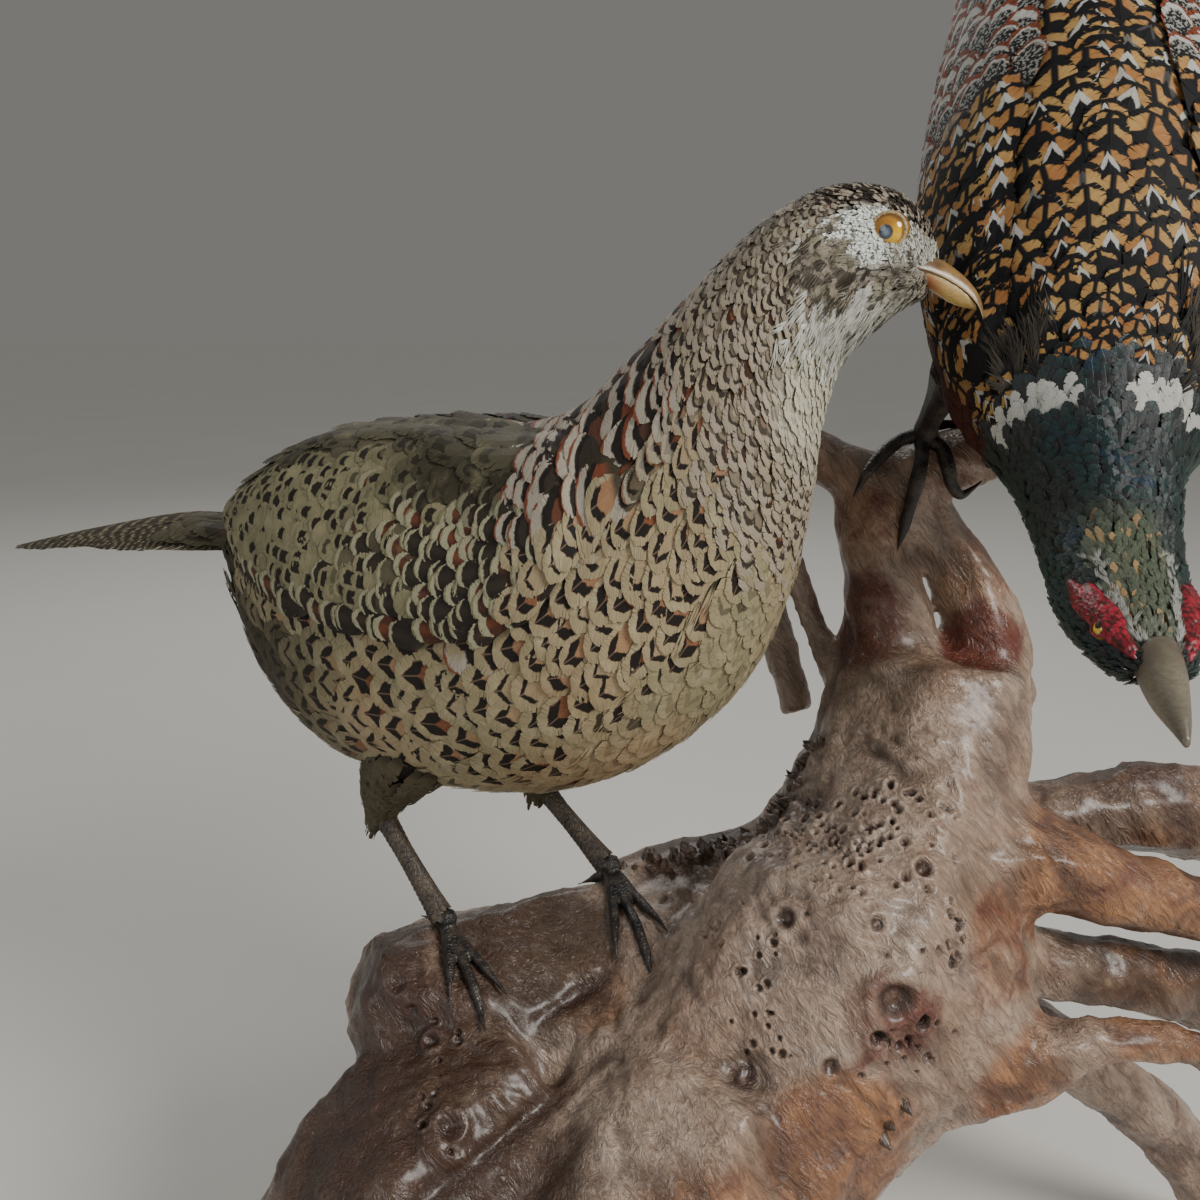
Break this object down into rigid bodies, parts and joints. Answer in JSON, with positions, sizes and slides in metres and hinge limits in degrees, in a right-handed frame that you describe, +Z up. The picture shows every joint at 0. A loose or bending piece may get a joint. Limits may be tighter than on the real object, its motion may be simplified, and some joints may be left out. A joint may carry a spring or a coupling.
{
  "type": "mounted pheasant pair",
  "caption": "Taxidermy hen pheasant standing on a varnished root with a cock pheasant stooping head-down beside it, as a still museum mount.",
  "frame": {"origin": "bottom centre of the whole mount's box, on the floor", "axes": "+Z up, +X to the right as seen from the front, towards the cock and the right-hand roots, -Y towards the viewer of the front"},
  "size_m": [0.6294, 0.591, 0.8822],
  "materials": {
    "hen_plumage": "matte barred feathers",
    "hen_tail": "matte dark barred feathers",
    "bill_horn": "satin horn",
    "eye_glass": "glossy amber glass eye",
    "leg_scale": "dry scaled skin",
    "foot_scale": "dark scaled skin and claws",
    "cock_plumage": "glossy patterned feathers",
    "varnished_root": "glossy varnish"
  },
  "bodies": {
    "root": {"head": "hen_plumage", "neck": "hen_plumage", "trunk": "hen_plumage", "wing_l": "hen_plumage", "wing_r": "hen_plumage", "thigh_l": "hen_plumage", "thigh_r": "hen_plumage", "tail": "hen_tail", "bill_upper": "bill_horn", "bill_lower": "bill_horn", "eye_l": "eye_glass", "eye_r": "eye_glass", "shank_l": "leg_scale", "shank_r": "leg_scale", "foot_l": "foot_scale", "foot_r": "foot_scale", "cock_pheasant": "cock_plumage", "mount_burl": "varnished_root", "mount_log": "varnished_root", "mount_ledge": "varnished_root", "mount_root_left": "varnished_root", "mount_root_front": "varnished_root", "mount_root_back": "varnished_root", "mount_root_glossy": "varnished_root", "mount_root_upper": "varnished_root", "mount_root_middle": "varnished_root", "mount_root_thin": "varnished_root", "mount_root_right": "varnished_root", "mount_fork_left": "varnished_root", "mount_fork_right": "varnished_root", "mount_branch": "varnished_root", "mount_twig": "varnished_root"}
  },
  "joints": []
}
